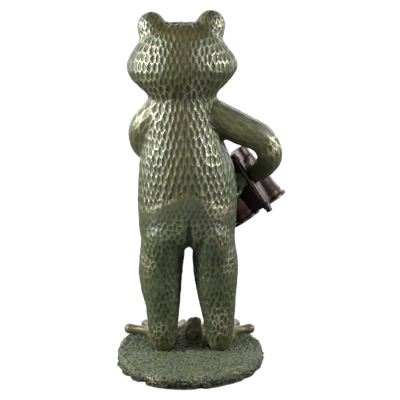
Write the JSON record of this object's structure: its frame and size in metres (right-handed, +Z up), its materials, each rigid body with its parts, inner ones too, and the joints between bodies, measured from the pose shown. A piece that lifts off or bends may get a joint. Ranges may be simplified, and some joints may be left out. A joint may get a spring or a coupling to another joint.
{
  "type": "garden statue",
  "caption": "Upright cast frog garden figure with a dimpled skin, holding field glasses at its side, standing on a rough patch of ground with a small boulder.",
  "frame": {"origin": "middle of the base's flat underside", "axes": "+Z up through the figure, the frog faces -Y, its right side is -X"},
  "size_m": [0.2646, 0.2493, 0.5402],
  "materials": {
    "green_patina": "satin green patina with pale worn ridges",
    "mossy_ground": "rough dark green with gold flecks",
    "dark_copper": "glossy dark red-brown copper"
  },
  "bodies": {
    "root": {"frog": "green_patina", "ground_base": "mossy_ground", "binoculars": "dark_copper"}
  },
  "joints": []
}
